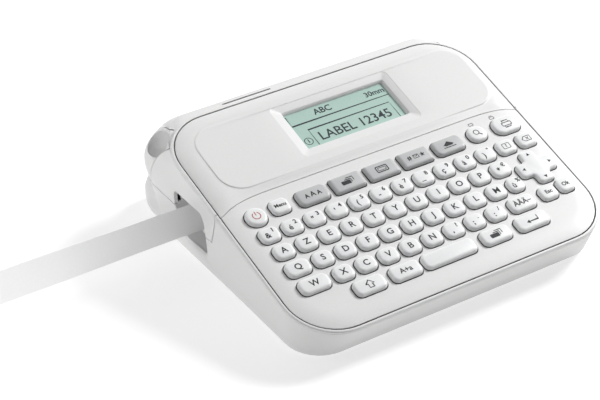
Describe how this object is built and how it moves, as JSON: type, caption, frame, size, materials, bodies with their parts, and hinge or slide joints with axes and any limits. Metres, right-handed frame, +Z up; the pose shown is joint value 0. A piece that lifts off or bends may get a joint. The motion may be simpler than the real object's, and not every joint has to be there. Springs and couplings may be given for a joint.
{
  "type": "desktop label maker",
  "caption": "Desktop label maker with tilted keyboard, display, side tape exit, corner cutter lever and underside tape and battery covers.",
  "frame": {"origin": "centre of the case's footprint, on the surface that the feet stand on", "axes": "+X to the user's right, +Y from the front edge to the back, +Z up"},
  "size_m": [0.294, 0.178, 0.0616],
  "materials": {
    "case_plastic": "satin",
    "key_plastic": "satin",
    "grey_key_plastic": "satin",
    "window": "clear",
    "lcd_glass": "gloss",
    "dark_plastic": "matt",
    "gear_plastic": "satin",
    "ribbon": "gloss",
    "cassette_plastic": "gloss",
    "tape_film": "satin",
    "roller_rubber": "matt",
    "membrane_rubber": "matt",
    "steel": "brushed",
    "head_metal": "satin",
    "brass_pinion": "machined",
    "circuit_board": "solder mask",
    "cell_jacket": "printed wrap"
  },
  "bodies": {
    "case": {"base_case": "case_plastic", "rear_case": "case_plastic", "keyboard_panel": "case_plastic", "display_panel": "case_plastic", "lcd_window": "window", "lcd_module": "lcd_glass", "lcd_cable": "circuit_board", "cover_hinge_pins": "steel", "battery_cells": "cell_jacket", "battery_contacts": "steel", "rubber_feet": "roller_rubber", "case_screws": "steel", "chassis": "dark_plastic", "tape_cassette": "cassette_plastic", "print_head": "head_metal", "feed_motor": "steel", "lever_pin": "steel", "lever_spring": "steel", "fixed_blade": "steel", "main_board": "circuit_board", "keypad_board": "circuit_board", "keypad_membrane": "membrane_rubber", "power_jack": "dark_plastic", "usb_port": "steel"},
    "tape_cover": {"tape_cover": "case_plastic"},
    "battery_cover": {"battery_cover": "case_plastic"},
    "platen": {"platen_roller": "roller_rubber", "platen_gear": "gear_plastic"},
    "motor_pinion": {"motor_pinion": "brass_pinion"},
    "idler_gear": {"idler_gear": "gear_plastic"},
    "tape_spool": {"tape_spool": "gear_plastic"},
    "ribbon_spool": {"ribbon_spool": "ribbon"},
    "label_tape": {"label_tape": "tape_film"},
    "cutter_lever": {"cutter_lever": "case_plastic"},
    "cutter_blade": {"cutter_blade": "steel"},
    "key_power": {"key_power": "key_plastic"},
    "key_menu": {"key_menu": "key_plastic"},
    "key_text": {"key_text": "grey_key_plastic"},
    "key_label_type": {"key_label_type": "grey_key_plastic"},
    "key_frame": {"key_frame": "grey_key_plastic"},
    "key_symbol": {"key_symbol": "grey_key_plastic"},
    "key_template": {"key_template": "grey_key_plastic"},
    "key_search": {"key_search": "key_plastic"},
    "key_print": {"key_print": "key_plastic"},
    "key_help": {"key_help": "key_plastic"},
    "key_backspace": {"key_backspace": "key_plastic"},
    "nav_pad": {"nav_pad": "key_plastic"},
    "key_esc": {"key_esc": "key_plastic"},
    "key_ok": {"key_ok": "key_plastic"},
    "key_accent": {"key_accent": "key_plastic"},
    "key_shift": {"key_shift": "key_plastic"},
    "key_caps": {"key_caps": "key_plastic"},
    "key_space": {"key_space": "key_plastic"},
    "key_label": {"key_label": "key_plastic"},
    "key_enter": {"key_enter": "key_plastic"},
    "digit_keys": {"digit_keys": "key_plastic"},
    "upper_letter_keys": {"upper_letter_keys": "key_plastic"},
    "home_letter_keys": {"home_letter_keys": "key_plastic"},
    "lower_letter_keys": {"lower_letter_keys": "key_plastic"}
  },
  "joints": [
    {"name": "roller_turn", "type": "hinge", "parent": "case", "child": "platen", "pos_m": [-0.062, 0.03225, 0.0236], "axis": [0, 0, -1], "range_deg": [0, 360]},
    {"name": "tape_feed", "type": "slide", "parent": "case", "child": "label_tape", "axis": [-1, 0, 0], "range_m": [0, 0.025]},
    {"name": "idler_turn", "type": "hinge", "parent": "case", "child": "idler_gear", "pos_m": [-0.07342, 0.04367, 0.0383], "axis": [0, 0, 1], "range_deg": [0, 240]},
    {"name": "motor_turn", "type": "hinge", "parent": "case", "child": "motor_pinion", "pos_m": [-0.06289, 0.05251, 0.0383], "axis": [0, 0, -1], "range_deg": [0, 575]},
    {"name": "tape_spool_turn", "type": "hinge", "parent": "case", "child": "tape_spool", "pos_m": [-0.01, 0.029, 0.0236], "axis": [0, 0, -1], "range_deg": [0, 88]},
    {"name": "ribbon_spool_turn", "type": "hinge", "parent": "case", "child": "ribbon_spool", "pos_m": [0.018, 0.02, 0.0236], "axis": [0, 0, -1], "range_deg": [0, 181]},
    {"name": "cutter_press", "type": "hinge", "parent": "case", "child": "cutter_lever", "pos_m": [-0.081, 0.0685, 0.03], "axis": [0.7071, 0.7071, 0], "range_deg": [0, 7], "stiffness_Nm_per_rad": 1.5},
    {"name": "blade_stroke", "type": "slide", "parent": "case", "child": "cutter_blade", "axis": [0, -1, 0], "range_m": [0, 0.005]},
    {"name": "tape_cover_swing", "type": "hinge", "parent": "case", "child": "tape_cover", "pos_m": [-0.011, 0.003, 0.0026], "axis": [-1, 0, 0], "range_deg": [0, 95]},
    {"name": "battery_cover_tilt", "type": "hinge", "parent": "case", "child": "battery_cover", "pos_m": [0, 0.0555, 0.002], "axis": [-1, 0, 0], "range_deg": [0, 60]},
    {"name": "key_power_press", "type": "slide", "parent": "case", "child": "key_power", "axis": [0, 0.2756, -0.9613], "range_m": [0, 0.0012], "stiffness_N_per_m": 300},
    {"name": "key_menu_press", "type": "slide", "parent": "case", "child": "key_menu", "axis": [0, 0.2756, -0.9613], "range_m": [0, 0.0012], "stiffness_N_per_m": 300},
    {"name": "key_text_press", "type": "slide", "parent": "case", "child": "key_text", "axis": [0, 0.2756, -0.9613], "range_m": [0, 0.0012], "stiffness_N_per_m": 300},
    {"name": "key_label_type_press", "type": "slide", "parent": "case", "child": "key_label_type", "axis": [0, 0.2756, -0.9613], "range_m": [0, 0.0012], "stiffness_N_per_m": 300},
    {"name": "key_frame_press", "type": "slide", "parent": "case", "child": "key_frame", "axis": [0, 0.2756, -0.9613], "range_m": [0, 0.0012], "stiffness_N_per_m": 300},
    {"name": "key_symbol_press", "type": "slide", "parent": "case", "child": "key_symbol", "axis": [0, 0.2756, -0.9613], "range_m": [0, 0.0012], "stiffness_N_per_m": 300},
    {"name": "key_template_press", "type": "slide", "parent": "case", "child": "key_template", "axis": [0, 0.2756, -0.9613], "range_m": [0, 0.0012], "stiffness_N_per_m": 300},
    {"name": "key_search_press", "type": "slide", "parent": "case", "child": "key_search", "axis": [0, 0.2756, -0.9613], "range_m": [0, 0.0012], "stiffness_N_per_m": 300},
    {"name": "key_print_press", "type": "slide", "parent": "case", "child": "key_print", "axis": [0, 0.2756, -0.9613], "range_m": [0, 0.0012], "stiffness_N_per_m": 300},
    {"name": "key_help_press", "type": "slide", "parent": "case", "child": "key_help", "axis": [0, 0.2756, -0.9613], "range_m": [0, 0.0012], "stiffness_N_per_m": 300},
    {"name": "key_backspace_press", "type": "slide", "parent": "case", "child": "key_backspace", "axis": [0, 0.2756, -0.9613], "range_m": [0, 0.0012], "stiffness_N_per_m": 300},
    {"name": "nav_pad_press", "type": "slide", "parent": "case", "child": "nav_pad", "axis": [0, 0.2756, -0.9613], "range_m": [0, 0.0012], "stiffness_N_per_m": 300},
    {"name": "key_esc_press", "type": "slide", "parent": "case", "child": "key_esc", "axis": [0, 0.2756, -0.9613], "range_m": [0, 0.0012], "stiffness_N_per_m": 300},
    {"name": "key_ok_press", "type": "slide", "parent": "case", "child": "key_ok", "axis": [0, 0.2756, -0.9613], "range_m": [0, 0.0012], "stiffness_N_per_m": 300},
    {"name": "key_accent_press", "type": "slide", "parent": "case", "child": "key_accent", "axis": [0, 0.2756, -0.9613], "range_m": [0, 0.0012], "stiffness_N_per_m": 300},
    {"name": "key_shift_press", "type": "slide", "parent": "case", "child": "key_shift", "axis": [0, 0.2756, -0.9613], "range_m": [0, 0.0012], "stiffness_N_per_m": 300},
    {"name": "key_caps_press", "type": "slide", "parent": "case", "child": "key_caps", "axis": [0, 0.2756, -0.9613], "range_m": [0, 0.0012], "stiffness_N_per_m": 300},
    {"name": "key_space_press", "type": "slide", "parent": "case", "child": "key_space", "axis": [0, 0.2756, -0.9613], "range_m": [0, 0.0012], "stiffness_N_per_m": 300},
    {"name": "key_label_press", "type": "slide", "parent": "case", "child": "key_label", "axis": [0, 0.2756, -0.9613], "range_m": [0, 0.0012], "stiffness_N_per_m": 300},
    {"name": "key_enter_press", "type": "slide", "parent": "case", "child": "key_enter", "axis": [0, 0.2756, -0.9613], "range_m": [0, 0.0012], "stiffness_N_per_m": 300},
    {"name": "digit_keys_press", "type": "slide", "parent": "case", "child": "digit_keys", "axis": [0, 0.2756, -0.9613], "range_m": [0, 0.0012], "stiffness_N_per_m": 2000},
    {"name": "upper_letter_keys_press", "type": "slide", "parent": "case", "child": "upper_letter_keys", "axis": [0, 0.2756, -0.9613], "range_m": [0, 0.0012], "stiffness_N_per_m": 2000},
    {"name": "home_letter_keys_press", "type": "slide", "parent": "case", "child": "home_letter_keys", "axis": [0, 0.2756, -0.9613], "range_m": [0, 0.0012], "stiffness_N_per_m": 2000},
    {"name": "lower_letter_keys_press", "type": "slide", "parent": "case", "child": "lower_letter_keys", "axis": [0, 0.2756, -0.9613], "range_m": [0, 0.0012], "stiffness_N_per_m": 2000}
  ],
  "couplings": [
    {"joint": "roller_turn", "follows": "tape_feed", "rad_per_m": 250},
    {"joint": "idler_turn", "follows": "tape_feed", "rad_per_m": 166.67},
    {"joint": "motor_turn", "follows": "tape_feed", "rad_per_m": 400},
    {"joint": "tape_spool_turn", "follows": "tape_feed", "rad_per_m": 60.606},
    {"joint": "ribbon_spool_turn", "follows": "tape_feed", "rad_per_m": 125},
    {"joint": "blade_stroke", "follows": "cutter_press", "m_per_rad": 0.0409}
  ]
}
